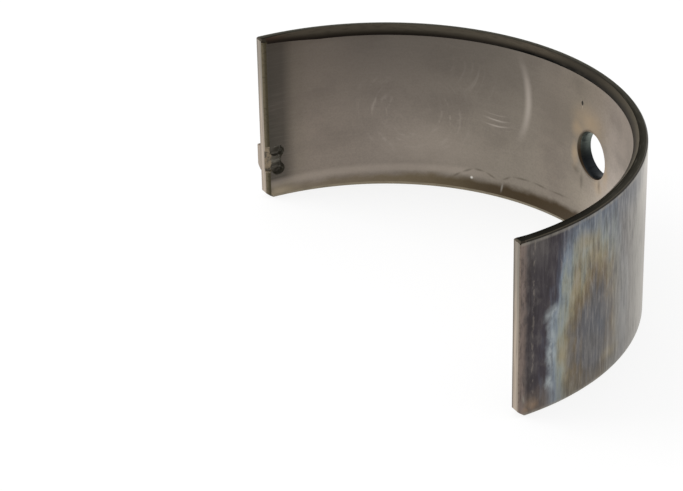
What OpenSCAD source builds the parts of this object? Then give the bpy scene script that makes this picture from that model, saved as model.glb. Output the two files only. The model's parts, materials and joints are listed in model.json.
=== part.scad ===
// Half shell of a connecting-rod bearing: a lined steel strip pressed round into a half ring,
// with a punched locating tang at one end and a dowel hole through its crown.
// The origin lies on the journal axis, halfway along the shell. +Z runs along the journal,
// +Y points at the crown, and both parting faces lie on y = 0. Sizes are in millimetres,
// in the shape that the shell takes when it is clamped in its housing.

/* [Shell] */
// Bore of the housing that the steel back seats in
housing_bore = 56.52; // [40:0.02:90]
// Thickness of the wall, steel back and lining together
wall = 1.55; // [1.4:0.01:3]
// Length of the shell along the journal
shell_length = 20.2; // [16:0.1:40]

/* [Side edges] */
// Depth into the wall of the wide bore chamfer on the upper side, which clears the journal's fillet
fillet_chamfer_depth = 0.7; // [0.1:0.05:0.9]
// Length along the journal of that wide chamfer, at the crown
fillet_chamfer_length = 0.75; // [0.2:0.05:1.5]
// How far the wide chamfer lies off the journal's axis towards the tang, where it is cut deeper
fillet_offset = 0.2; // [0:0.05:0.3]
// Length that is left of the wide chamfer at the parting faces, where it runs out
runout_length = 0.5; // [0.1:0.05:0.8]
// Offset towards the crown of the cut that makes it run out: the more, the shorter the run-out
runout_offset = 2; // [0.5:0.1:3]
// Depth into the wall of the bore chamfer on the side that the shell stands on
side_chamfer_depth = 0.3; // [0.1:0.05:0.9]
// Length along the journal of the chamfer on the standing side
side_chamfer_length = 0.5; // [0.1:0.05:1.5]
// Chamfer on both outer side edges of the back
back_chamfer = 0.2; // [0.05:0.05:0.4]

/* [Parting faces] */
// Depth into the wall of the bevel up the inner edge of each parting face
joint_bevel_depth = 0.3; // [0.1:0.05:0.8]
// Reach round the bore of that inner bevel
joint_bevel_reach = 0.5; // [0.1:0.05:1]
// Bevel up the outer edge of each parting face
joint_back_bevel = 0.15; // [0.05:0.05:0.4]
// Height of the clip off each corner of the strip on the standing side
standing_clip_height = 0.7; // [0.1:0.05:1.2]
// Reach of that clip round the back, from the parting face
standing_clip_reach = 0.9; // [0.1:0.05:1.5]
// Clip off each corner of the strip on the upper side
upper_corner_clip = 0.2; // [0.1:0.05:1.2]

/* [Locating tang] */
// How far the tang stands out of the back
tang_height = 0.6; // [0.3:0.05:1.5]
// Width of the tang along the journal
tang_width = 3.1; // [2.4:0.1:5]
// Height of the tang's lower edge above the standing side
tang_rise = 3.3; // [2:0.1:6]
// Length round the back of the level land beside the parting face
tang_land = 1.1; // [0.3:0.1:2.5]
// Length round the back from the parting face to the foot of the tang's ramp
tang_length = 4.2; // [3:0.1:8]
// Height of the slope on the tang's lower flank
tang_flank = 0.5; // [0.2:0.1:2]

/* [Punched pocket behind the tang] */
// Depth of the step that the punch leaves in the bore
pocket_step = 0.45; // [0.2:0.05:0.7]
// Reach of that step round the bore, from the parting face
pocket_reach = 1.9; // [1.2:0.1:4]
// How far the pocket runs past the tang on each side
pocket_margin = 0.4; // [0:0.05:1]
// How far the step stops short of the pocket's sides, which the deep marks reach
step_inset = 0.65; // [0:0.05:1]
// Diameter of the two deep marks of the punch
punch_d = 1.6; // [1:0.1:2.4]
// Depth of the two deep marks of the punch
punch_depth = 0.9; // [0.3:0.05:1.2]
// Distance of the deep marks' centres from the parting face
punch_inset = 1.5; // [1:0.1:4]
// Ledge left between each deep mark and the side of the pocket
punch_ledge = 0.05; // [0.05:0.05:0.4]

/* [Dowel hole] */
// Diameter of the hole
hole_d = 5.1; // [2:0.1:8]
// Angle from the crown to the hole, towards the plain end
hole_angle = 1.1; // [-30:0.1:30]
// Height of the hole's centre above the middle of the shell
hole_rise = 0.55; // [-2:0.05:2]
// Width of the chamfer round the hole in the lining
hole_chamfer_width = 0.2; // [0.05:0.05:0.6]
// Depth into the wall of that chamfer
hole_chamfer_depth = 0.3; // [0.1:0.05:0.9]

/* [Hidden] */
$fn = 180;
back_r = housing_bore / 2;
bore_r = back_r - wall;
top_z = shell_length / 2;
side_z = -shell_length / 2;
tang_low_z = side_z + tang_rise;
tang_mid_z = tang_low_z + tang_width / 2;
pocket_width = tang_width + 2 * pocket_margin;
punch_offset = (pocket_width - punch_d) / 2 - punch_ledge;
// Cutters run this far past the faces that they open
past = 1;

// Section of the wall before the wide chamfer, with the radius along x and the journal axis along y
module wall_section() {
    polygon([
        [bore_r + side_chamfer_depth, side_z],
        [back_r - back_chamfer, side_z],
        [back_r, side_z + back_chamfer],
        [back_r, top_z - back_chamfer],
        [back_r - back_chamfer, top_z],
        [bore_r, top_z],
        [bore_r, side_z + side_chamfer_length],
    ]);
}

// Stands a drawing of distance from the parting face (x) against height (y) across the wall at +X
module across_wall(from_r, to_r) {
    translate([from_r, 0, 0])
        rotate([90, 0, 90])
            linear_extrude(to_r - from_r)
                children();
}

// Cone whose slope is that of the wide chamfer, and which opens the bore over the given length
module fillet_cone(length) {
    slope = fillet_chamfer_depth / fillet_chamfer_length;
    translate([0, 0, top_z - length - past])
        cylinder(h = length + 2 * past, r1 = bore_r - slope * past, r2 = bore_r + slope * (length + past));
}

// Wide chamfer on the upper side: it runs out where the cone nearer the crown lies inside the other
module fillet_chamfer() {
    intersection() {
        translate([-fillet_offset, 0, 0])
            fillet_cone(fillet_chamfer_length);
        translate([0, runout_offset, 0])
            fillet_cone(runout_length);
    }
}

// Clips one corner of the strip: flip is 1 on the upper side and -1 on the standing side
module corner_clip(height, reach, flip) {
    slant = reach / height;
    across_wall(bore_r - past, back_r + past)
        polygon([
            [reach + past * slant, flip * (top_z + past)],
            [-past, flip * (top_z - height - past / slant)],
            [-past, flip * (top_z + past)],
        ]);
}

// Bevels the inner and outer edges of the parting face at +X, over the whole length
module joint_bevels() {
    reach_per_depth = joint_bevel_reach / joint_bevel_depth;
    translate([0, 0, side_z - past])
        linear_extrude(shell_length + 2 * past) {
            polygon([
                [bore_r + joint_bevel_depth + past / reach_per_depth, -past],
                [bore_r - past, joint_bevel_reach + past * reach_per_depth],
                [bore_r - past, -past],
            ]);
            polygon([
                [back_r - joint_back_bevel - past, -past],
                [back_r + past, joint_back_bevel + past],
                [back_r + past, -past],
            ]);
        }
}

// Everything that is cut alike at both ends, drawn at +X
module end_cuts() {
    corner_clip(upper_corner_clip, upper_corner_clip, 1);
    corner_clip(standing_clip_height, standing_clip_reach, -1);
    joint_bevels();
}

// Outline of the tang seen along the journal, at +X: a level land, then a ramp down to the back
module tang_plan() {
    root_r = back_r - wall / 2;
    ramp_foot_r = sqrt(back_r * back_r - tang_length * tang_length);
    polygon([
        [root_r, 0],
        [back_r + tang_height, 0],
        [back_r + tang_height, tang_land],
        [ramp_foot_r, tang_length],
        [sqrt(root_r * root_r - tang_length * tang_length), tang_length],
    ]);
}

// Tang at +X, with a square sheared edge above and a sloping flank below
module tang() {
    intersection() {
        translate([0, 0, tang_low_z])
            linear_extrude(tang_width)
                tang_plan();
        rotate([90, 0, 0])
            translate([0, 0, -tang_length - past])
                linear_extrude(tang_length + 2 * past)
                    polygon([
                        [bore_r, tang_low_z],
                        [back_r, tang_low_z],
                        [back_r + tang_height, tang_low_z + tang_flank],
                        [back_r + tang_height, tang_low_z + tang_width],
                        [bore_r, tang_low_z + tang_width],
                    ]);
    }
}

// Pocket that the punch leaves in the bore at +X: a step open to the parting face, and two deep marks
module tang_pocket() {
    step_width = pocket_width - 2 * step_inset;
    translate([bore_r - past, -past, tang_mid_z - step_width / 2])
        cube([past + pocket_step, past + pocket_reach, step_width]);
    for (end = [-1, 1])
        translate([bore_r - past, punch_inset, tang_mid_z + end * punch_offset])
            rotate([0, 90, 0])
                cylinder(h = past + punch_depth, d = punch_d);
}

// Hole through the crown with its chamfer in the lining, turned as one profile about the hole's axis
module dowel_hole() {
    hole_r = hole_d / 2;
    width_per_depth = hole_chamfer_width / hole_chamfer_depth;
    rotate([0, 0, -hole_angle])
        translate([0, 0, hole_rise])
            rotate([-90, 0, 0])
                rotate_extrude()
                    polygon([
                        [0, bore_r - past],
                        [hole_r + hole_chamfer_width + past * width_per_depth, bore_r - past],
                        [hole_r, bore_r + hole_chamfer_depth],
                        [hole_r, back_r + past],
                        [0, back_r + past],
                    ]);
}

// Half ring with its section, corners and parting faces, before the tang is punched
module strip() {
    difference() {
        rotate_extrude(angle = 180)
            wall_section();
        fillet_chamfer();
        end_cuts();
        mirror([1, 0, 0])
            end_cuts();
    }
}

module bearing_shell() {
    color([0.43, 0.40, 0.37])
        difference() {
            union() {
                strip();
                mirror([1, 0, 0])
                    tang();
            }
            mirror([1, 0, 0])
                tang_pocket();
            dowel_hole();
        }
}

bearing_shell();
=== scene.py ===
# Half shell of a connecting-rod bearing, dressed for its picture
import json
import math
import bpy
from mathutils import Matrix, Vector


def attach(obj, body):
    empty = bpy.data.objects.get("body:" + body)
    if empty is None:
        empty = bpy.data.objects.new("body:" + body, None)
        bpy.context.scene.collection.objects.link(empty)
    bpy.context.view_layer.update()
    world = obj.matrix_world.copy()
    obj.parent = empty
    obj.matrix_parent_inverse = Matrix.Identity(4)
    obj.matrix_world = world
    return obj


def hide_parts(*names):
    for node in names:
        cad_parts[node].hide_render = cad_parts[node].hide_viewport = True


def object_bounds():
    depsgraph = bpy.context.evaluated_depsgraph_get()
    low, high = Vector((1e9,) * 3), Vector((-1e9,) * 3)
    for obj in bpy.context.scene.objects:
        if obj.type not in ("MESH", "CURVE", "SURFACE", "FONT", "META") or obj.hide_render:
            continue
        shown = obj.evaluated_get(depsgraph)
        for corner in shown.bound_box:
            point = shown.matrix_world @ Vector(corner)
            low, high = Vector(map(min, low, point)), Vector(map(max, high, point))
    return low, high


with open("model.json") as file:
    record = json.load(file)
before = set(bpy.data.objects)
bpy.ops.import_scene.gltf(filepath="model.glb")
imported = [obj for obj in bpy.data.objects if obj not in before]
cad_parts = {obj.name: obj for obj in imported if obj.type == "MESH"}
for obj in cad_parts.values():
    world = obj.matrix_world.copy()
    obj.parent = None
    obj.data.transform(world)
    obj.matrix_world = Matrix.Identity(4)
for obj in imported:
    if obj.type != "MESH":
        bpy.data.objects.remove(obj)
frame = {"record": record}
cadLow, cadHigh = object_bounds()
mounts = {m["name"]: m for m in frame["record"]["mounts"]}
mm = 0.001  # metres in a millimetre: the shell is modelled in millimetres and scaled at the end
past = 1.0  # cutters run this far past the faces that they open
hair = 0.01  # points this near to a plane count as lying in it
straight = 0.9  # a face with this share of its normal in a direction faces that way
print("frame loaded, box in mm", [round(v / mm, 2) for v in (*cadLow, *cadHigh)])

# Lengths in millimetres; the radii and the ends come from the frame
shell = {
    "backR": cadHigh.y / mm,
    "boreR": mounts["journal"]["dims"]["r_mm"],
    "topZ": cadHigh.z / mm,
    "sideZ": cadLow.z / mm,
    "steps": 360,
    "bands": 12,  # rows of faces along the journal
    "filletChamfer": (0.7, 0.75),  # depth into the wall, length along the journal
    "filletOffset": 0.2,
    "runoutLength": 0.5,
    "runoutOffset": 2.0,
    "sideChamfer": (0.3, 0.5),
    "backChamfer": (0.2, 0.2),
    "jointBevel": (0.3, 0.5),  # depth into the wall, reach round the bore
    "jointBackBevel": 0.15,
    "upperClip": (0.2, 0.2),  # height, reach round the back
    "standingClip": (0.7, 0.9),
    "edgeRound": 0.04,
    "roundSteps": 2,
    "endZone": 3.0,  # the cuts at a parting face reach no further than this
    "cutLimit": 1e-6,
    "seamWeld": 1e-4,
    "weld": 0.004,  # before the edges are rounded
    "lastWeld": 0.002,
    "sharpFrom": 24,  # degrees between faces whose edge is rounded
    "smoothUpTo": 40,  # degrees between faces that are shaded as one
}
tang = {
    "height": -cadLow.x / mm - cadHigh.y / mm,
    "width": 3.1,
    "rise": 3.3,  # of the lower edge above the standing side
    "land": 1.1,
    "length": 4.2,
    "flank": 0.5,
    "round": 0.12,
    "roundSteps": 4,
    "seam": 0.03,
}
pocket = {
    "step": 0.45,
    "reach": 1.9,
    "margin": 0.4,
    "stepInset": 0.65,
    "cornerRound": 0.15,
    "cornerSteps": 3,
    "punchD": 1.6,
    "punchDepth": 0.9,
    "punchInset": 1.5,
    "punchLedge": 0.05,
    "punchRound": 0.22,
    "punchRoundSteps": 4,
    "punchSides": 48,
}
hole = {
    "place": Vector(mounts["dowel_hole"]["pos_m"]) / mm,
    "axis": Vector(mounts["dowel_hole"]["axis"]),
    "radius": mounts["dowel_hole"]["dims"]["r_mm"],
    "chamferWidth": 0.2,
    "chamferDepth": 0.3,
    "sides": 128,
}
pit = {"angle": 93.4, "z": 6.15, "size": 0.2, "stretch": 1.7, "sunk": 0.1, "sides": 24, "rings": 12}
holeTurn = math.atan2(hole["axis"].x, hole["axis"].y)  # from the crown towards the plain end
hole["unrolled"] = (90 - math.degrees(holeTurn), hole["place"].z)
tang["low"] = shell["sideZ"] + tang["rise"]
pocket["midZ"] = tang["low"] + tang["width"] / 2
pocket["width"] = tang["width"] + 2 * pocket["margin"]


def pickOnly(obj):
    bpy.ops.object.select_all(action="DESELECT")
    obj.select_set(True)
    bpy.context.view_layer.objects.active = obj


def edit(obj):
    pickOnly(obj)
    bpy.ops.object.mode_set(mode="EDIT")


def done():
    bpy.ops.object.mode_set(mode="OBJECT")


def pickFaces(obj, wanted):
    edit(obj)
    bpy.ops.mesh.select_mode(type="FACE")
    bpy.ops.mesh.select_all(action="DESELECT")
    done()
    for face in obj.data.polygons:
        face.select = wanted(face)
    bpy.ops.object.mode_set(mode="EDIT")


# Cuts the picked faces along a plane: what lies beyond it goes, unless keep is set
def sliceOff(point, normal, fill=False, keep=False):
    bpy.ops.mesh.bisect(
        plane_co=point,
        plane_no=Vector(normal).normalized(),
        threshold=shell["cutLimit"],
        use_fill=fill,
        clear_outer=not keep,
    )


def settle(obj):
    pickOnly(obj)
    bpy.ops.object.transform_apply(location=True, rotation=True, scale=True)


def cutWith(obj, tool, operation):
    cut = obj.modifiers.new("cut", "BOOLEAN")
    cut.operation = operation
    cut.solver = "EXACT"
    cut.object = tool
    pickOnly(obj)
    bpy.ops.object.modifier_apply(modifier=cut.name)
    bpy.data.objects.remove(tool)


# The section starts as a flat plate in the plane y = 0, and three corners are cut off along their chamfers
def makeSection():
    boreR, backR = shell["boreR"], shell["backR"]
    topZ, sideZ = shell["topZ"], shell["sideZ"]
    bpy.ops.object.select_all(action="DESELECT")
    bpy.ops.mesh.primitive_plane_add(
        size=1, location=((boreR + backR) / 2, 0, (topZ + sideZ) / 2), rotation=(math.pi / 2, 0, 0)
    )
    plate = bpy.context.object
    plate.name = "bearingShell"
    settle(plate)
    edit(plate)
    bpy.ops.mesh.select_all(action="SELECT")
    bpy.ops.transform.resize(value=(backR - boreR, 1, topZ - sideZ))
    corners = [
        (boreR, sideZ, 1, 1, shell["sideChamfer"]),
        (backR, topZ, -1, -1, shell["backChamfer"]),
        (backR, sideZ, -1, 1, shell["backChamfer"]),
    ]
    for radius, z, inward, alongZ, (depth, run) in corners:
        bpy.ops.mesh.select_all(action="SELECT")
        sliceOff((radius + inward * depth, 0, z), (-inward * run, 0, -alongZ * depth))
    done()
    return plate


def sweepRing(obj):
    edit(obj)
    bpy.ops.mesh.select_all(action="SELECT")
    bpy.ops.mesh.spin(steps=shell["steps"], angle=-math.pi, center=(0, 0, 0), axis=(0, 0, 1))
    bpy.ops.mesh.select_all(action="SELECT")
    bpy.ops.mesh.remove_doubles(threshold=shell["seamWeld"])
    bpy.ops.mesh.normals_make_consistent(inside=False)
    done()


# Bevels and clips of the two parting faces: side is 1 at the plain end and -1 at the tang end
def trimEnd(obj, side):
    flip = Vector((side, 1, 1))
    depth, reach = shell["jointBevel"]
    upperHeight, upperReach = shell["upperClip"]
    standingHeight, standingReach = shell["standingClip"]
    cuts = [
        ((shell["boreR"] + depth, 0, 0), (-reach, -depth, 0)),
        ((shell["backR"] - shell["jointBackBevel"], 0, 0), (1, -1, 0)),
        ((0, upperReach, shell["topZ"]), (0, -upperHeight, upperReach)),
        ((0, standingReach, shell["sideZ"]), (0, -standingHeight, -standingReach)),
    ]
    for point, normal in cuts:
        pickFaces(obj, lambda face: face.center.y < shell["endZone"] and face.center.x * side > 0)
        sliceOff(Vector(point) * flip, Vector(normal) * flip, fill=True)
        done()


def splitBands(obj):
    step = (shell["topZ"] - shell["sideZ"]) / shell["bands"]
    edit(obj)
    for i in range(1, shell["bands"]):
        bpy.ops.mesh.select_all(action="SELECT")
        sliceOff((0, 0, shell["sideZ"] + i * step), (0, 0, 1), keep=True)
    done()


def filletCone(length, offset):
    slope = shell["filletChamfer"][0] / shell["filletChamfer"][1]
    bpy.ops.object.select_all(action="DESELECT")
    bpy.ops.mesh.primitive_cone_add(
        vertices=2 * shell["steps"],
        radius1=shell["boreR"] - slope * past,
        radius2=shell["boreR"] + slope * (length + past),
        depth=length + 2 * past,
        location=(*offset, shell["topZ"] - length / 2),
    )
    cone = bpy.context.object
    settle(cone)
    return cone


# The wide chamfer runs out at both ends, where the cone nearer the crown lies inside the other
def cutFillet(obj):
    cone = filletCone(shell["filletChamfer"][1], (-shell["filletOffset"], 0))
    cutWith(cone, filletCone(shell["runoutLength"], (0, shell["runoutOffset"])), "INTERSECT")
    cutWith(obj, cone, "DIFFERENCE")


# All the edges that stand so far are rounded, before the tang, pocket and hole are made
def easeEdges(obj):
    edit(obj)
    bpy.ops.mesh.select_all(action="SELECT")
    bpy.ops.mesh.remove_doubles(threshold=shell["weld"])
    bpy.ops.mesh.select_mode(type="EDGE")
    bpy.ops.mesh.select_all(action="DESELECT")
    bpy.ops.mesh.edges_select_sharp(sharpness=math.radians(shell["sharpFrom"]))
    bpy.ops.mesh.bevel(
        offset=shell["edgeRound"],
        segments=shell["roundSteps"],
        affect="EDGES",
        clamp_overlap=False,
    )
    done()


def addTang(obj):
    backR = shell["backR"]
    rootR = (backR + shell["boreR"]) / 2
    tipR = backR + tang["height"]
    rampFoot = math.sqrt(backR ** 2 - tang["length"] ** 2)
    bpy.ops.object.select_all(action="DESELECT")
    bpy.ops.mesh.primitive_cube_add(
        size=1, location=(-(rootR + tipR) / 2, tang["length"] / 2, tang["low"] + tang["width"] / 2)
    )
    lug = bpy.context.object
    lug.scale = (tipR - rootR, tang["length"], tang["width"])
    settle(lug)
    edit(lug)
    bpy.ops.mesh.select_all(action="SELECT")
    ramp = (-(tang["length"] - tang["land"]), tipR - rampFoot, 0)
    sliceOff((-tipR, tang["land"], 0), ramp, fill=True)
    bpy.ops.mesh.select_all(action="SELECT")
    sliceOff((-backR, 0, tang["low"]), (-tang["flank"], 0, -tang["height"]), fill=True)
    bpy.ops.mesh.select_all(action="SELECT")
    seamX = shell["jointBackBevel"] - tang["seam"] - backR  # a fine seam is left at the parting face
    sliceOff((seamX, 0, 0), (1, -1, 0), fill=True)
    bpy.ops.mesh.select_mode(type="EDGE")
    bpy.ops.mesh.select_all(action="DESELECT")
    done()
    points = lug.data.vertices
    for edge in lug.data.edges:
        ends = [points[i].co for i in edge.vertices]
        outer = all(p.x < -rampFoot + hair for p in ends)
        atFace = all(p.y < hair for p in ends)
        atFoot = all(p.y > tang["length"] - hair for p in ends)
        edge.select = outer and not atFace and not atFoot
    bpy.ops.object.mode_set(mode="EDIT")
    bpy.ops.mesh.bevel(offset=tang["round"], segments=tang["roundSteps"], affect="EDGES")
    done()
    cutWith(obj, lug, "UNION")


# What the punch left in the bore behind the tang: a step open to the parting face, and two deep marks
def punchPocket(obj):
    boreR = shell["boreR"]
    bpy.ops.object.select_all(action="DESELECT")
    bpy.ops.mesh.primitive_cube_add(
        size=1,
        location=(-boreR + (past - pocket["step"]) / 2, (pocket["reach"] - past) / 2, pocket["midZ"]),
    )
    step = bpy.context.object
    step.scale = (past + pocket["step"], past + pocket["reach"], pocket["width"] - 2 * pocket["stepInset"])
    settle(step)
    edit(step)
    bpy.ops.mesh.select_all(action="SELECT")
    bpy.ops.mesh.bevel(offset=pocket["cornerRound"], segments=pocket["cornerSteps"], affect="EDGES")
    done()
    cutWith(obj, step, "DIFFERENCE")
    spread = (pocket["width"] - pocket["punchD"]) / 2 - pocket["punchLedge"]
    for end in (-1, 1):
        middle = -boreR + (past - pocket["punchDepth"]) / 2
        bpy.ops.object.select_all(action="DESELECT")
        bpy.ops.mesh.primitive_cylinder_add(
            vertices=pocket["punchSides"],
            radius=pocket["punchD"] / 2,
            depth=past + pocket["punchDepth"],
            location=(middle, pocket["punchInset"], pocket["midZ"] + end * spread),
            rotation=(0, -math.pi / 2, 0),
        )
        mark = bpy.context.object
        settle(mark)
        pickFaces(mark, lambda face: face.normal.x < -straight)
        bpy.ops.mesh.bevel(offset=pocket["punchRound"], segments=pocket["punchRoundSteps"], affect="EDGES")
        done()
        cutWith(obj, mark, "DIFFERENCE")


# The drill is a cylinder whose inner end flares out along the chamfer
def drillHole(obj):
    innerR, outerR = shell["boreR"] + hole["chamferDepth"], shell["backR"] + past
    bpy.ops.object.select_all(action="DESELECT")
    bpy.ops.mesh.primitive_cylinder_add(
        vertices=hole["sides"],
        radius=hole["radius"],
        depth=outerR - innerR,
        location=(0, 0, (outerR + innerR) / 2),
    )
    drill = bpy.context.object
    settle(drill)
    pickFaces(drill, lambda face: face.normal.z < -straight)
    deeper = hole["chamferDepth"] + past
    flare = 1 + deeper * hole["chamferWidth"] / hole["chamferDepth"] / hole["radius"]
    bpy.ops.mesh.extrude_region_move(TRANSFORM_OT_translate={"value": (0, 0, -deeper)})
    bpy.ops.transform.resize(value=(flare, flare, 1))
    done()
    drill.location = (0, 0, hole["place"].z)
    drill.rotation_euler = (-math.pi / 2, 0, -holeTurn)
    settle(drill)
    cutWith(obj, drill, "DIFFERENCE")


def makePit(obj):
    angle = math.radians(pit["angle"])
    radius = shell["boreR"] - pit["size"] + pit["sunk"]
    bpy.ops.object.select_all(action="DESELECT")
    bpy.ops.mesh.primitive_uv_sphere_add(
        segments=pit["sides"],
        ring_count=pit["rings"],
        radius=pit["size"],
        location=(radius * math.cos(angle), radius * math.sin(angle), pit["z"]),
    )
    ball = bpy.context.object
    ball.scale = (1, 1, pit["stretch"])
    settle(ball)
    cutWith(obj, ball, "DIFFERENCE")


bearing = makeSection()
sweepRing(bearing)
for side in (1, -1):
    trimEnd(bearing, side)
splitBands(bearing)
cutFillet(bearing)
easeEdges(bearing)
addTang(bearing)
punchPocket(bearing)
drillHole(bearing)
makePit(bearing)
print("shell cut,", len(bearing.data.polygons), "faces")

patternR = 27.5  # radius at which the wall is unrolled flat for its patterns, in millimetres
perDegree = patternR * math.pi / 180  # millimetres round the shell in a degree of arc
halfTurnNudge = 0.001  # keeps the tang's parting face clear of the jump in angle at half a turn
noDepth = 1e5  # scale that makes depth in the wall count for nothing
noiseMiddle = 0.5
spotOverlap = 0.62  # half length of a spot on a trail, as a share of its stretch
arcNoise = (0.5, 0.74)  # values of the noise between which a rag's arc fades in


def tone(colour):
    parts = [c / 255 for c in colour]
    return tuple(c / 12.92 if c <= 0.04045 else ((c + 0.055) / 1.055) ** 2.4 for c in parts) + (1.0,)


def node(tree, kind, inputs=(), **settings):
    made = tree.nodes.new(kind)
    for name, value in settings.items():
        setattr(made, name, value)
    for socket, value in dict(inputs).items():
        if isinstance(value, bpy.types.NodeSocket):
            tree.links.new(value, made.inputs[socket])
        else:
            made.inputs[socket].default_value = value
    return made


def calc(tree, operation, a, b=0.0):
    return node(tree, "ShaderNodeMath", {0: a, 1: b}, operation=operation).outputs[0]


def vectorCalc(tree, operation, inputs):
    return node(tree, "ShaderNodeVectorMath", inputs, operation=operation).outputs


def partsOf(tree, vector):
    return node(tree, "ShaderNodeSeparateXYZ", {0: vector}).outputs


def strongest(tree, masks):
    total = masks[0]
    for mask in masks[1:]:
        total = calc(tree, "MAXIMUM", total, mask)
    return total


def fade(tree, value, start, end, low=0.0, high=1.0):
    inputs = {0: value, 1: start, 2: end, 3: low, 4: high}
    return node(tree, "ShaderNodeMapRange", inputs, interpolation_type="SMOOTHSTEP").outputs[0]


def blend(tree, amount, under, over):
    return node(tree, "ShaderNodeMix", {0: amount, 6: under, 7: over}, data_type="RGBA").outputs[2]


def grain(tree, where, stretch, detail=3.0, rough=0.55):
    fitted = vectorCalc(tree, "MULTIPLY", {0: where, 1: stretch})[0]
    inputs = {"Vector": fitted, "Scale": 1.0, "Detail": detail, "Roughness": rough}
    return node(tree, "ShaderNodeTexNoise", inputs).outputs[0]


# Noise moved to lie about nothing, times an amount
def swing(tree, noise, amount):
    return calc(tree, "MULTIPLY", calc(tree, "SUBTRACT", noise, noiseMiddle), amount)


# Colours along a measure: the last stop stands at the ramp's end
def ramp(tree, value, stops):
    last = stops[-1][0]
    made = node(tree, "ShaderNodeValToRGB", {0: calc(tree, "DIVIDE", value, last)})
    steps = made.color_ramp.elements
    while len(steps) < len(stops):
        steps.new(1.0)
    for step, (place, colour) in zip(steps, stops):
        step.position = place / last
        step.color = tone(colour)
    return made.outputs[0]


# Places on the shell: angle from the plain end in degrees, height and depth in millimetres, and all unrolled
def surfacePlace(tree):
    where = node(tree, "ShaderNodeTexCoord").outputs["Object"]
    x, y, z = partsOf(tree, vectorCalc(tree, "SCALE", {0: where, "Scale": 1 / mm})[0])
    turn = calc(tree, "ARCTAN2", calc(tree, "ADD", y, halfTurnNudge), x)
    across = node(tree, "ShaderNodeCombineXYZ", {0: x, 1: y}).outputs[0]
    radius = vectorCalc(tree, "LENGTH", {0: across})["Value"]
    angle = calc(tree, "MULTIPLY", turn, 180 / math.pi)
    around = calc(tree, "MULTIPLY", angle, perDegree)
    unrolled = node(tree, "ShaderNodeCombineXYZ", {0: around, 1: z, 2: radius}).outputs[0]
    depth = calc(tree, "SUBTRACT", radius, shell["boreR"])
    return {"angle": angle, "y": y, "z": z, "depth": depth, "unrolled": unrolled}


# Moves an unrolled place about a little, so that stains get uneven edges
def waver(tree, unrolled, amount, size):
    inputs = {"Vector": unrolled, "Scale": 1 / size, "Detail": 3.0}
    noise = node(tree, "ShaderNodeTexNoise", inputs).outputs["Color"]
    middle = vectorCalc(tree, "SUBTRACT", {0: noise, 1: (noiseMiddle, noiseMiddle, noiseMiddle)})[0]
    shift = vectorCalc(tree, "SCALE", {0: middle, "Scale": amount})[0]
    return vectorCalc(tree, "ADD", {0: unrolled, 1: shift})[0]


# A place as seen from a spot, and its distance in half widths of that spot
def reachFrom(tree, unrolled, angle, z, around=1.0, along=1.0, tilt=0.0):
    inputs = {
        "Vector": unrolled,
        "Location": (angle * perDegree, z, 0),
        "Rotation": (0, 0, math.radians(tilt)),
        "Scale": (around, along, noDepth),
    }
    local = node(tree, "ShaderNodeMapping", inputs, vector_type="TEXTURE").outputs[0]
    return local, vectorCalc(tree, "LENGTH", {0: local})["Value"]


# Strongest of several soft spots: angle, height, half width round the shell, half height, tilt
def spots(tree, unrolled, places):
    return strongest(tree, [fade(tree, reachFrom(tree, unrolled, *spot)[1], 1.0, 0.0) for spot in places])


# Spots strung along a line of places
def trail(points, width):
    strung = []
    for (a0, z0), (a1, z1) in zip(points, points[1:]):
        dx, dz = (a1 - a0) * perDegree, z1 - z0
        tilt = math.degrees(math.atan2(dz, dx))
        strung.append(((a0 + a1) / 2, (z0 + z1) / 2, spotOverlap * math.hypot(dx, dz), width, tilt))
    return strung


# Broken arcs round one place, as a rag leaves them: fine is how many lie in a millimetre
def arcs(tree, unrolled, angle, z, fine, sweep):
    local, reach = reachFrom(tree, unrolled, angle, z)
    x, y, _ = partsOf(tree, local)
    turn = calc(tree, "MULTIPLY", calc(tree, "ARCTAN2", y, x), sweep)
    polar = node(tree, "ShaderNodeCombineXYZ", {0: calc(tree, "MULTIPLY", reach, fine), 1: turn}).outputs[0]
    noise = node(tree, "ShaderNodeTexNoise", {"Vector": polar, "Scale": 1.0, "Detail": 2.0}).outputs[0]
    return fade(tree, noise, *arcNoise)


# How much of a coat shows: the most of it, times its masks, fades and bands over fields, and its spots
def coverage(tree, place, coat):
    parts = [place[field] for field in coat.get("masks", [])]
    parts += [fade(tree, place[field], *span) for field, *span in coat.get("fades", [])]
    for field, middle, outer, inner in coat.get("bands", []):
        off = calc(tree, "ABSOLUTE", calc(tree, "SUBTRACT", place[field], middle))
        parts.append(fade(tree, off, outer, inner))
    if "spots" in coat:
        parts.append(spots(tree, place[coat.get("on", "unrolled")], coat["spots"]))
    amount = coat.get("most", 1.0)
    for part in parts:
        amount = calc(tree, "MULTIPLY", amount, part)
    return amount


# A tone is three values of 0 to 255, or the name of a field that holds a colour
def paint(place, colour):
    return place[colour] if isinstance(colour, str) else tone(colour)


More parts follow.
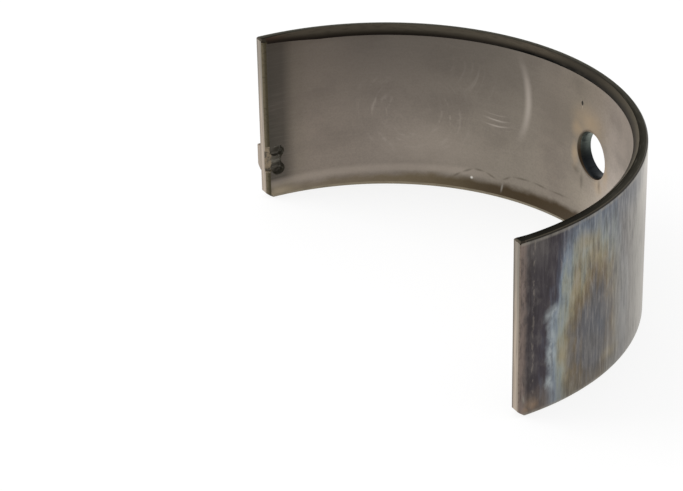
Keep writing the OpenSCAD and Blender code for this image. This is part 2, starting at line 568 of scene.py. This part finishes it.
# Every finish is a base with coats over it. Its fields, which the coats name, are made first:
# wavers (amount, size), grains (stretch, detail, roughness), reaches (the spot from which they count),
# ramps (field, stops) and mixes (field, start, end, two tones).
# A fade is a field with its start and end, and the values there if they aren't 0 and 1.
# A band is a field, its middle, and how far off it the band ends and is full.
def makeMetal(name, finish, addFields=None):
    material = bpy.data.materials.new(name)
    material.use_nodes = True
    tree = material.node_tree
    shader = tree.nodes["Principled BSDF"]
    place = surfacePlace(tree)
    unrolled = place["unrolled"]
    for field, settings in finish.get("wavers", {}).items():
        place[field] = waver(tree, unrolled, *settings)
    for field, settings in finish.get("grains", {}).items():
        place[field] = grain(tree, unrolled, *settings)
    for field, spot in finish.get("reaches", {}).items():
        place[field] = reachFrom(tree, unrolled, *spot)[1]
    if addFields:
        addFields(tree, place)
    for field, (along, stops) in finish.get("ramps", {}).items():
        place[field] = ramp(tree, place[along], stops)
    for field, (along, start, end, low, high) in finish.get("mixes", {}).items():
        place[field] = blend(tree, fade(tree, place[along], start, end), tone(low), tone(high))
    colour = paint(place, finish["base"])
    for coat in finish["coats"].values():
        colour = blend(tree, coverage(tree, place, coat), colour, paint(place, coat["tone"]))
    tree.links.new(colour, shader.inputs["Base Color"])
    if "ripple" in finish:
        field, height, strength = finish["ripple"]
        inputs = {"Height": place[field], "Distance": height * mm, "Strength": strength}
        tree.links.new(node(tree, "ShaderNodeBump", inputs).outputs[0], shader.inputs["Normal"])
    for socket, value in finish["shader"].items():
        shader.inputs[socket].default_value = value
    return material


# Lining of the bore: colours along the arc from the plain end to the tang, lighter towards the crown partly
# as painted light and darker at the tang end as painted shade, then its stains and scuffs, painted shade
# above, and a painted shade band with a painted highlight along the standing side
lining = {
    "shader": {"Metallic": 0.8, "Roughness": 0.46},
    "ripple": ("lines", 0.002, 0.3),
    "wavers": {"uneven": (1.0, 1.6), "drifting": (1.5, 3.0), "trembling": (0.4, 1.2)},
    "grains": {
        "clouds": ((0.2, 0.26, 1), 4),
        "lines": ((0.3, 6, 1), 2),
        "speckle": ((4.5, 4.5, 1), 3),
        "breaks": ((1.1, 1.5, 1), 4),
        "bloom": ((0.5, 0.5, 1), 3),
    },
    "reaches": {"offHole": hole["unrolled"], "offSwirl": (142, -0.5), "offBow": (134.4, 3.3)},
    "ramps": {
        # lighter from the plain end to the crown: partly a worn contact zone, partly painted light; darker
        # from 172° to the tang end: painted shade
        "arc": (
            "angle",
            [
                (0, (176, 166, 154)),
                (78, (198, 186, 175)),
                (86, (176, 164, 150)),
                (94, (153, 143, 129)),
                (103, (143, 133, 121)),
                (111, (143, 134, 122)),
                (119, (145, 136, 124)),
                (150, (141, 131, 121)),
                (168, (141, 130, 119)),
                (172, (133, 123, 111)),
                (175, (84, 78, 70)),
                (180, (70, 66, 58)),
            ],
        ),
    },
    # tones of the painted shade band along the standing side
    "mixes": {"shadeBandTone": ("angle", 118, 150, (60, 44, 16), (98, 82, 44))},
    "shadeBandRise": (150, 0.016),  # angle at which the painted shade band lies level, and its rise in each degree from there
    # rag marks: angle, height, arcs in a millimetre and sweep, then how each of them shows
    "arcs": {"swirl": (142, -0.5, 1.7, 1.6), "wide": (137, 6.5, 2.0, 0.9), "chevron": (120.6, 7, 3.0, 1.2)},
    "rags": [
        {
            "most": 0.286,
            "masks": ["swirl"],
            "fades": [("offSwirl", 1.0, 2.8), ("breaks", 0.32, 0.54)],
            "on": "uneven",
            "spots": [
                (133, -1.0, 4.4, 5.6, 0),
                (146, -4.0, 5.6, 3.4, 0),
                (142, -0.5, 3.6, 3.0, 0),
                (151, 0.4, 4.4, 4.6, 0),
            ],
        },
        {"most": 0.11, "masks": ["wide"], "on": "uneven", "spots": [(128, 4.2, 5.5, 3.4, 24)]},
        {"most": 0.9, "masks": ["chevron"], "spots": [(120.5, -0.5, 3.0, 1.8, 0)]},
        {"most": 0.6, "bands": [("offBow", 11.0, 0.75, 0.0)], "spots": [(112.5, 3.0, 3.4, 6.6, 0)]},
    ],
    "base": "arc",
    "coats": {
        "clouds": {"tone": (104, 95, 88), "most": 0.3, "fades": [("clouds", 0.4, 0.72)]},
        "lines": {"tone": (184, 175, 165), "most": 0.06, "fades": [("lines", 0.45, 0.8)]},
        "speckle": {"tone": (82, 76, 70), "most": 0.12, "fades": [("speckle", 0.4, 0.65)]},
        "upperShade": {
            "tone": (82, 76, 70),
            "most": 0.68,
            "fades": [("z", -5.0, 10.0), ("angle", 96, 124, 0.35, 1.0), ("angle", 155, 166, 1.0, 0.8)],
        },
        "haze": {"tone": (182, 170, 157), "most": 0.27, "on": "drifting", "spots": [(138, -4.8, 10, 4.2, 0)]},
        "dim": {"tone": (108, 100, 90), "most": 0.4, "on": "drifting", "spots": [(99.5, 2.6, 5.6, 4.6, 0)]},
        "scuffs": {"tone": (190, 180, 170), "masks": ["scuffs"]},
        # tan bloom beside the hole, dark runs below it and a dark ring on its far side
        "bloom": {
            "tone": (186, 162, 130),
            "most": 0.55,
            "fades": [("bloom", 0.2, 0.6, 0.6, 1.0)],
            "on": "uneven",
            "spots": [
                (90.0, 4.2, 4.6, 3.0, 0),
                (94.5, 2.8, 1.8, 2.0, 0),
                (82.8, -0.6, 1.3, 2.6, 0),
                (86.0, -2.7, 1.6, 1.6, 0),
                (95.8, -0.4, 0.9, 2.4, 0),
            ],
        },
        "runs": {
            "tone": (84, 74, 60),
            "most": 0.45,
            "on": "trembling",
            "spots": [(93.2, -3.5, 0.45, 1.6, 0), (85.4, -2.6, 0.4, 1.3, 0), (95.4, -2.4, 1.0, 0.7, 30)],
        },
        "ring": {
            "tone": (84, 74, 60),
            "most": 0.6,
            "bands": [("offHole", hole["radius"] + 0.3, 0.25, 0.0)],
            "fades": [("angle", 85, 91)],
        },
        # painted shade along the standing side: a dark brown band that stands in for a reflected shadow,
        # wider towards the plain end, with a painted highlight above it
        # painted highlight: a light band above the painted shade band
        "gleam": {
            "tone": (182, 170, 157),
            "most": 0.34,
            "bands": [("level", -7.8, 0.8, 0.1)],
            "fades": [("angle", 118, 130)],
        },
        "oil": {"tone": "shadeBandTone", "fades": [("shadeBandLevel", -8.1, -9.2), ("angle", 178, 108, 0.34, 0.94)]},
        "corner": {
            "tone": (170, 156, 134),
            "most": 0.7,
            "on": "uneven",
            "spots": [(176.5, -9.4, 3.2, 1.5, 0)],
        },
        "tideMarks": {
            "tone": (86, 78, 64),
            "most": 0.55,
            "spots": [
                *trail([(132.5, -8.4), (129.9, -7.6), (126.8, -6.9), (123.7, -7.0), (120.4, -7.7)], 0.22),
                *trail([(119.0, -7.6), (116.2, -6.8), (110.2, -6.6), (104.9, -6.8), (97.9, -6.6)], 0.22),
            ],
        },
        "fleck": {"tone": (236, 232, 224), "spots": [(127.3, -8.1, 0.26, 0.26, 0)]},
        "smear": {"tone": (236, 232, 224), "most": 0.25, "spots": [(119, -8.6, 0.2, 0.9, 12)]},
    },
}


def addLiningFields(tree, place):
    levelAt, slope = lining["shadeBandRise"]
    rise = calc(tree, "MULTIPLY", calc(tree, "SUBTRACT", place["angle"], levelAt), slope)
    place["level"] = calc(tree, "ADD", place["z"], rise)
    # height that the painted shade band follows, made uneven
    place["shadeBandLevel"] = calc(tree, "ADD", partsOf(tree, place["uneven"])[1], rise)
    for field, settings in lining["arcs"].items():
        place[field] = arcs(tree, place["unrolled"], *settings)
    place["scuffs"] = strongest(tree, [coverage(tree, place, rag) for rag in lining["rags"]])


# Steel back with the tints of heat, which lie in rings round a warm place near the plain end, with some
# painted light over them
back = {
    "shader": {"Metallic": 1.0, "Roughness": 0.4},
    "ripple": ("fine", 0.005, 0.4),
    "wavers": {"uneven": (1.6, 2.4), "warped": (3.0, 4.5), "ragged": (1.1, 1.3), "frayed": (0.55, 1.0)},
    "grains": {
        "broad": ((1.1, 0.12, 1), 4, 0.6),
        "patches": ((0.42, 0.3, 1), 4),
        "clouds": ((0.12, 0.07, 1), 5),
        "smoke": ((0.9, 0.55, 1), 4, 0.6),
        "breaks": ((1.4, 0.8, 1), 4),
        "stripGrain": ((2.6, 0.7, 1), 4, 0.65),
        "flecks": ((3, 1.2, 1), 3),
        "fine": ((5.5, 0.2, 1), 4, 0.65),
        "mottle": ((2.4, 0.42, 1), 5, 0.68),
    },
    "warm": (21, -3.5, 3.2, 7.0),  # angle, height, half width and half height of the ring that is gold
    "patchy": (0.36, 0.6),
    "heatSwing": 1.3,  # how far the noise moves each measure
    "spreadSwing": 14.0,
    "borderSwing": 5.0,
    "ageSwing": 1.6,
    "age": (0.035, 0.45),  # growth with the height, and the value at the middle
    "ramps": {
        "tints": (
            "heat",
            [
                (0.0, (88, 90, 96)),
                (0.6, (92, 90, 92)),
                (0.95, (116, 102, 80)),
                (1.25, (140, 130, 104)),
                (1.6, (142, 146, 138)),
                (1.9, (122, 132, 142)),
                (2.15, (82, 84, 94)),
                (2.4, (66, 61, 66)),
                (3.4, (64, 60, 60)),
            ],
        ),
        # lighter towards the crown: partly plain steel, partly painted light
        "plain": (
            "angle",
            [(24, (112, 108, 103)), (33, (134, 130, 125)), (42, (164, 159, 149)), (56, (182, 176, 164))],
        ),
        "cloudy": (
            "age",
            [
                (0.0, (108, 112, 114)),
                (0.35, (116, 98, 76)),
                (0.55, (88, 74, 68)),
                (0.8, (62, 66, 82)),
                (1.0, (50, 54, 68)),
            ],
        ),
    },
    "base": "tints",
    "coats": {
        "dull": {
            "tone": (104, 101, 99),
            "most": 0.75,
            "fades": [("heat", 1.5, 1.2), ("patches", 0.36, 0.6, 1.0, 0.0)],
        },
        # plain steel, lighter towards the crown: partly painted light
        "plain": {"tone": "plain", "most": 0.85, "fades": [("spread", 24, 32)]},
        "blue": {"tone": (102, 106, 114), "most": 0.6, "fades": [("z", 5.5, 9.0), ("angle", 9, 14)]},
        # the dark end is greyer above and browner below
        "dusty": {"tone": (98, 93, 91), "most": 0.65, "fades": [("z", 5.5, 9.5), ("angle", 8.5, 5.0)]},
        "brown": {
            "tone": (116, 104, 92),
            "most": 0.6,
            "fades": [("z", -5.5, -9.5), ("angle", 11, 6), ("patches", 0.36, 0.6)],
        },
        "gold": {
            "tone": (150, 138, 110),
            "most": 0.72,
            "on": "uneven",
            "spots": [
                (20.6, 5.2, 1.9, 1.7, 0),
                (18.4, 7.0, 2.8, 1.7, -12),
                (11.2, -4.6, 1.3, 2.2, 0),
                (14.6, 2.2, 0.9, 1.8, 0),
                (27.5, -7.8, 2.6, 1.2, -6),
            ],
        },
        "lower": {
            "tone": (94, 89, 83),
            "most": 0.6,
            "fades": [("z", -6.6, -8.8), ("angle", 9, 12), ("angle", 26, 38, 1.0, 0.1)],
        },
        # pale band from 37° to 50°, lighter towards the top: partly heat tint, partly painted reflection
        "paleTintAndSheen": {"tone": (232, 225, 214), "fades": [("z", 1.0, 9.5, 0.1, 0.7), ("angle", 37, 50)]},
        "smoke": {"tone": (98, 93, 91), "most": 0.42, "fades": [("smoke", 0.46, 0.66), ("angle", 9, 6)]},
        "cloudy": {"tone": "cloudy", "fades": [("border", 51, 72)]},
        # pale streak, and the strip beside the parting face with a dark line and a flecked one
        "pale": {
            "tone": (166, 173, 174),
            "most": 0.9,
            "fades": [("breaks", 0.3, 0.62, 0.2, 1.0)],
            "on": "ragged",
            "spots": [
                (8.4, 0.8, 1.5, 1.3, 20),
                (8.0, -3.0, 0.8, 5.8, 0),
                (8.2, -3.8, 1.1, 2.4, 4),
                (7.8, -7.0, 0.8, 1.7, 0),
            ],
        },
        "endStrip": {
            "tone": (122, 109, 102),
            "fades": [("stripGrain", 0.34, 0.56, 0.45, 1.0), ("frayedAngle", 2.3, 0.8)],
        },
        "endLine": {"tone": (56, 48, 45), "most": 0.3, "bands": [("frayedAngle", 2.4, 0.5, 0.0)]},
        "fleckLine": {
            "tone": (158, 148, 136),
            "most": 0.3,
            "bands": [("frayedAngle", 3.3, 0.45, 0.0)],
            "fades": [("flecks", 0.42, 0.6)],
        },
        "rust": {
            "tone": (146, 122, 100),
            "most": 0.55,
            "on": "uneven",
            "spots": [(3.4, -8.9, 1.2, 0.8, 0), (1.4, -9.3, 0.6, 0.5, 0)],
        },
        "scrape": {"tone": (150, 145, 134), "most": 0.6, "spots": [(1.2, -8.0, 0.16, 0.8, 8)]},
        # fine streaks along the journal, as the strip was drawn, and a mottle over all of it
        "darkStreaks": {
            "tone": (50, 47, 46),
            "most": 0.34,
            "fades": [("fine", 0.5, 0.72), ("angle", 5, 24, 0.25, 1.0), ("angle", 45, 70, 1.0, 0.4)],
        },
        "lightStreaks": {
            "tone": (176, 172, 166),
            "most": 0.28,
            "fades": [("fine", 0.5, 0.28), ("angle", 5, 24, 0.25, 1.0), ("angle", 45, 70, 1.0, 0.4)],
        },
        "darkMottle": {
            "tone": (50, 47, 46),
            "most": 0.4,
            "fades": [("mottle", 0.48, 0.66), ("z", -4.0, 4.0, 0.6, 1.0), ("angle", 38, 54, 1.0, 0.3)],
        },
        "lightMottle": {
            "tone": (176, 172, 166),
            "most": 0.26,
            "fades": [
                ("mottle", 0.5, 0.34),
                ("z", -4.0, 4.0, 0.6, 1.0),
                ("angle", 7, 12, 0.1, 1.0),
                ("angle", 38, 54, 1.0, 0.3),
            ],
        },
        # light lines along the top and bottom edges: partly worn edge, partly painted edge highlight
        "upperRim": {"tone": (150, 145, 134), "fades": [("z", 9.5, 9.8), ("broad", 0.3, 0.6, 0.1, 0.5)]},
        "lowerRim": {"tone": (150, 145, 134), "fades": [("z", -9.5, -9.85), ("broad", 0.3, 0.6, 0.1, 0.5)]},
    },
}


def addBackFields(tree, place):
    reach = reachFrom(tree, place["warped"], *back["warm"])[1]
    place["heat"] = calc(tree, "ADD", reach, swing(tree, place["broad"], back["heatSwing"]))
    place["spread"] = calc(tree, "ADD", place["angle"], swing(tree, place["broad"], back["spreadSwing"]))
    patchy = fade(tree, place["patches"], *back["patchy"])
    place["border"] = calc(tree, "ADD", place["spread"], swing(tree, patchy, back["borderSwing"]))
    growth, middle = back["age"]
    aged = swing(tree, place["clouds"], back["ageSwing"])
    aged = calc(tree, "ADD", aged, calc(tree, "MULTIPLY", place["z"], growth))
    place["age"] = calc(tree, "ADD", aged, middle)
    place["frayedAngle"] = calc(tree, "DIVIDE", partsOf(tree, place["frayed"])[0], perDegree)


# Side faces, sheared, near black as a painted dark reflection: darker by the chamfer, lighter by the outer
# edge
sideFace = {
    "shader": {"Metallic": 0.0, "Specular IOR Level": 0.0, "Roughness": 0.55},
    "ripple": ("lines", 0.01, 0.5),
    "grains": {"lines": ((0.4, 1, 9), 3)},
    "base": (34, 32, 27),
    "coats": {
        "outer": {"tone": (80, 78, 70), "fades": [("depth", 0.5, 1.4), ("angle", 50, 110, 0.35, 1.0)]},
        "worn": {"tone": (98, 94, 86), "most": 0.5, "fades": [("lines", 0.5, 0.8)]},
        "plainEnd": {"tone": (20, 19, 16), "most": 0.7, "fades": [("angle", 32, 14)]},
    },
}

# Parting faces: bright from the cutter, with a brighter band up the middle
partingFace = {
    "shader": {"Metallic": 1.0, "Roughness": 0.42},
    "ripple": ("lines", 0.006, 0.5),
    "grains": {"lines": ((1, 0.25, 7), 3)},
    "base": (134, 127, 117),
    "coats": {
        "lower": {"tone": (164, 151, 137), "fades": [("z", 7.0, -4.0)]},
        "bright": {
            "tone": (188, 173, 156),
            "bands": [("depth", 0.84, 0.35, 0.05)],
            "fades": [("z", 8.0, 0.0, 0.3, 0.9)],
        },
        "dull": {"tone": (112, 103, 93), "most": 0.6, "fades": [("lines", 0.45, 0.75)]},
        "inner": {"tone": (112, 103, 92), "most": 0.8, "fades": [("depth", 0.64, 0.44), ("angle", 90, 80)]},
    },
}

# Chamfers and rounded edges: dark brown next to the bore, lighter towards the side, bare metal at the ends
cutEdge = {
    "shader": {"Metallic": 1.0, "Roughness": 0.5},
    "ripple": ("lines", 0.01, 0.5),
    "grains": {"lines": ((0.8, 3, 6), 3)},
    "ramps": {
        "nearBore": (
            "angle",
            [
                (0, (54, 48, 40)),
                (60, (50, 44, 36)),
                (75, (28, 25, 20)),
                (90, (10, 9, 7)),
                (100, (5, 5, 4)),
                (112, (5, 5, 4)),
                (125, (34, 30, 26)),
                (180, (38, 32, 27)),
            ],
        ),
        "nearSide": (
            "angle",
            [
                (0, (100, 92, 76)),
                (55, (94, 86, 70)),
                (65, (77, 70, 57)),
                (90, (42, 38, 31)),
                (100, (44, 40, 33)),
                (110, (66, 60, 51)),
                (140, (82, 76, 66)),
                (172, (78, 71, 61)),
                (180, (70, 48, 38)),
            ],
        ),
    },
    "mixes": {"tangBevel": ("depth", 0.06, 0.27, (76, 70, 55), (118, 109, 90))},
    "base": "nearBore",
    "coats": {
        "nearSide": {"tone": "nearSide", "fades": [("depth", 0.05, 0.6)]},
        "outer": {"tone": (58, 55, 50), "fades": [("depth", 1.3, 1.45)]},
        "standing": {"tone": (150, 138, 116), "most": 0.8, "fades": [("z", -9.3, -9.7)]},
        "plainEnd": {"tone": (102, 97, 86), "fades": [("angle", 1.6, 1.2), ("z", 9.8, 9.7)]},
        "tangEnd": {"tone": "tangBevel", "fades": [("angle", 178.4, 178.8), ("z", 9.8, 9.7)]},
        "plainEndOuter": {"tone": (132, 119, 109), "fades": [("angle", 1.6, 1.2), ("depth", 1.3, 1.45)]},
        "tangEndOuter": {"tone": (132, 119, 109), "fades": [("angle", 178.4, 178.8), ("depth", 1.3, 1.45)]},
        "plainEndCorner": {"tone": (58, 53, 45), "fades": [("angle", 1.6, 1.2), ("z", 9.75, 9.85)]},
        "tangEndCorner": {"tone": (58, 53, 45), "fades": [("angle", 178.4, 178.8), ("z", 9.75, 9.85)]},
        "grime": {"tone": (40, 36, 30), "most": 0.4, "fades": [("lines", 0.45, 0.75)]},
    },
}

# What the punch left: brown by the parting face, dark in the marks with greyer bands; the pit is darker still
punchMark = {
    "shader": {"Metallic": 0.4, "Roughness": 0.5},
    "ripple": ("mottle", 0.03, 0.5),
    "grains": {"mottle": ((1.8, 1.8, 1.8), 3), "bands": ((0.6, 3.2, 1.5), 3)},
    "mixes": {"banded": ("bands", 0.5, 0.68, (86, 81, 70), (132, 127, 116))},
    "base": (86, 81, 70),
    "coats": {
        "brown": {"tone": (150, 134, 110), "fades": [("mottle", 0.3, 0.6)]},
        "deep": {"tone": "banded", "fades": [("y", 0.75, 1.0)]},
        "pit": {"tone": (48, 44, 37), "fades": [("y", 10, 20)]},
    },
}

# Wall of the hole: blue-black with fine streaks, greyer above, and a thin brown rim
holeRim = hole["radius"] + hole["chamferWidth"]
holeWall = {
    "shader": {"Metallic": 1.0, "Roughness": 0.42},
    "grains": {"streaks": ((4, 4, 0.4), 3)},
    "reaches": {"offHole": hole["unrolled"]},
    "base": (44, 47, 50),
    "coats": {
        "upper": {"tone": (124, 132, 124), "fades": [("z", -1.2, 2.8)]},
        "streaks": {"tone": (22, 23, 26), "most": 0.6, "fades": [("streaks", 0.5, 0.75)]},
        "rim": {"tone": (84, 68, 50), "most": 0.7, "fades": [("offHole", holeRim - 0.08, holeRim - 0.03)]},
    },
}

finishes = {
    "lining": makeMetal("liningMetal", lining, addLiningFields),
    "back": makeMetal("temperedBack", back, addBackFields),
    "side": makeMetal("sideFace", sideFace),
    "joint": makeMetal("machinedFace", partingFace),
    "edge": makeMetal("cutEdge", cutEdge),
    "punched": makeMetal("punchedMark", punchMark),
    "holeWall": makeMetal("holeWall", holeWall),
}

# How faces are told apart: lengths in millimetres, and how straight a face has to point in a direction
sorting = {
    "crownY": 20.0,  # the hole and the pit lie beyond this
    "holeMargin": 0.03,
    "holeOutward": 0.9,
    "jointDown": 0.95,
    "jointY": 0.05,
    "pocketMargin": 0.02,
    "pocketY": 2.5,
    "pocketBack": 0.2,  # the pocket stops this far inside the back
    "backMargin": 0.02,
    "backOutward": -0.5,
    "backEdge": 0.17,
    "sideUp": 0.97,
    "liningInward": 0.98,
    "liningMargin": 0.01,
    "pitReach": 0.6,
    "pitInward": 0.2,
    "pitDepth": 0.2,
}


def finishOf(face):
    c, n = face.center, face.normal
    radius = math.hypot(c.x, c.y)
    outward = (c.x * n.x + c.y * n.y) / radius
    toHole = c - hole["place"]
    offAxis = (toHole - hole["axis"] * toHole.dot(hole["axis"])).length
    atCrown = c.y > sorting["crownY"]
    atHole = atCrown and offAxis < holeRim + sorting["holeMargin"]
    if atHole and abs(outward) < sorting["holeOutward"]:
        return "holeWall"
    if n.y < -sorting["jointDown"] and c.y < sorting["jointY"]:
        return "joint"
    byPocket = abs(c.z - pocket["midZ"]) < pocket["width"] / 2 + sorting["pocketMargin"]
    inPocket = byPocket and c.x < 0 and c.y < sorting["pocketY"]
    inWall = shell["boreR"] + sorting["pocketMargin"] < radius < shell["backR"] - sorting["pocketBack"]
    if inPocket and inWall:
        return "punched"
    onBack = radius > shell["backR"] - sorting["backMargin"] and outward > sorting["backOutward"]
    if onBack and abs(c.z) < shell["topZ"] - sorting["backEdge"]:
        return "back"
    if abs(n.z) > sorting["sideUp"]:
        return "side"
    if outward < -sorting["liningInward"] and radius < shell["boreR"] + sorting["liningMargin"]:
        return "lining"
    atPit = atCrown and abs(c.z - pit["z"]) < sorting["pitReach"]
    if atPit and outward < -sorting["pitInward"] and radius < shell["boreR"] + sorting["pitDepth"]:
        return "punched"
    return "edge"


names = list(finishes)
for material in finishes.values():
    bearing.data.materials.append(material)
counts = {name: 0 for name in names}
for face in bearing.data.polygons:
    kind = finishOf(face)
    face.material_index = names.index(kind)
    counts[kind] += 1
print("finishes,", counts)


def finishMesh(obj):
    edit(obj)
    bpy.ops.mesh.select_all(action="SELECT")
    bpy.ops.mesh.remove_doubles(threshold=shell["lastWeld"])
    done()
    obj.scale = (mm, mm, mm)
    settle(obj)
    bpy.ops.object.shade_smooth_by_angle(angle=math.radians(shell["smoothUpTo"]))
    even = obj.modifiers.new("even", "WEIGHTED_NORMAL")
    even.keep_sharp = True
    bpy.ops.object.modifier_apply(modifier=even.name)


finishMesh(bearing)
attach(bearing, "root")
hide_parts("bearing_shell")
print("shell finished,", len(bearing.data.polygons), "faces")

# Camera at the photo's angle: the aim lies on the floor, in millimetres
view = {
    "aim": (-12.67, 2.09, cadLow.z / mm),
    "azimuth": 61.96,
    "elevation": 28.74,
    "distance": 311.06,
    "roll": -1.27,
    "lens": 145.79,
    "clip": (0.01, 10),  # metres
}


def placeCamera():
    a, e = math.radians(view["azimuth"]), math.radians(view["elevation"])
    away = Vector((math.sin(a) * math.cos(e), -math.cos(a) * math.cos(e), math.sin(e)))
    data = bpy.data.cameras.new("camera")
    data.lens = view["lens"]
    data.clip_start, data.clip_end = view["clip"]
    camera = bpy.data.objects.new("camera", data)
    bpy.context.scene.collection.objects.link(camera)
    turn = (-away).to_track_quat("-Z", "Y").to_matrix().to_4x4()
    roll = Matrix.Rotation(math.radians(view["roll"]), 4, "Z")
    spot = (Vector(view["aim"]) + away * view["distance"]) * mm
    camera.matrix_world = Matrix.Translation(spot) @ turn @ roll
    bpy.context.scene.camera = camera


placeCamera()

# The room is white behind the shell and dim in front of it, with one soft lamp from the left; sizes in metres
studio = {
    "room": 1.0,
    "dim": 0.4,
    "dimFacing": (0.0, 0.8),  # the room grows dim as it turns from square to the camera towards it
    "floorSize": 4,
    "floorGlow": 0.84,
    "floorColour": 0.17,
    "floorBounce": 0.8,  # grey of the floor for the light that it throws back
    "lampFrom": (-0.28, -0.3, 0.2),
    "lampSize": 0.3,
    "lampPower": 1.2,
}


# 1 for the camera and for what shines in metal, 0 for the light that falls on things
def seenDirectly(tree):
    path = node(tree, "ShaderNodeLightPath").outputs
    return strongest(tree, [path["Is Camera Ray"], path["Is Glossy Ray"], path["Is Transmission Ray"]])


def mattGrey(tree, grey):
    return node(tree, "ShaderNodeBsdfDiffuse", {"Color": (grey, grey, grey, 1)}).outputs[0]


def makeFloor():
    bpy.ops.object.select_all(action="DESELECT")
    bpy.ops.mesh.primitive_plane_add(size=studio["floorSize"], location=(0, 0, cadLow.z))
    floor = bpy.context.object
    floor.name = "floor"
    settle(floor)
    material = bpy.data.materials.new("whiteFloor")
    material.use_nodes = True
    tree = material.node_tree
    tree.nodes.remove(tree.nodes["Principled BSDF"])
    glow = node(tree, "ShaderNodeEmission", {"Strength": studio["floorGlow"]}).outputs[0]
    seen = node(tree, "ShaderNodeAddShader", {0: mattGrey(tree, studio["floorColour"]), 1: glow}).outputs[0]
    bounce = mattGrey(tree, studio["floorBounce"])
    surface = node(tree, "ShaderNodeMixShader", {0: seenDirectly(tree), 1: bounce, 2: seen}).outputs[0]
    tree.links.new(surface, tree.nodes["Material Output"].inputs["Surface"])
    floor.data.materials.append(material)


def lightStudio():
    world = bpy.data.worlds.new("studio")
    bpy.context.scene.world = world
    world.use_nodes = True
    tree = world.node_tree
    a = math.radians(view["azimuth"])
    front = (math.sin(a), -math.cos(a), 0)
    toward = node(tree, "ShaderNodeTexCoord").outputs["Generated"]
    facing = vectorCalc(tree, "DOT_PRODUCT", {0: toward, 1: front})["Value"]
    shade = fade(tree, facing, *studio["dimFacing"], studio["room"], studio["dim"])
    tree.links.new(shade, tree.nodes["Background"].inputs["Color"])
    bpy.ops.object.select_all(action="DESELECT")
    bpy.ops.object.light_add(type="AREA", location=studio["lampFrom"])
    lamp = bpy.context.object
    lamp.name = "softLamp"
    lamp.data.size = studio["lampSize"]
    lamp.data.energy = studio["lampPower"]
    lamp.rotation_euler = (-Vector(studio["lampFrom"])).to_track_quat("-Z", "Y").to_euler()


makeFloor()
lightStudio()
print("camera, floor and light placed")

bpy.context.scene.view_settings.view_transform = "Standard"
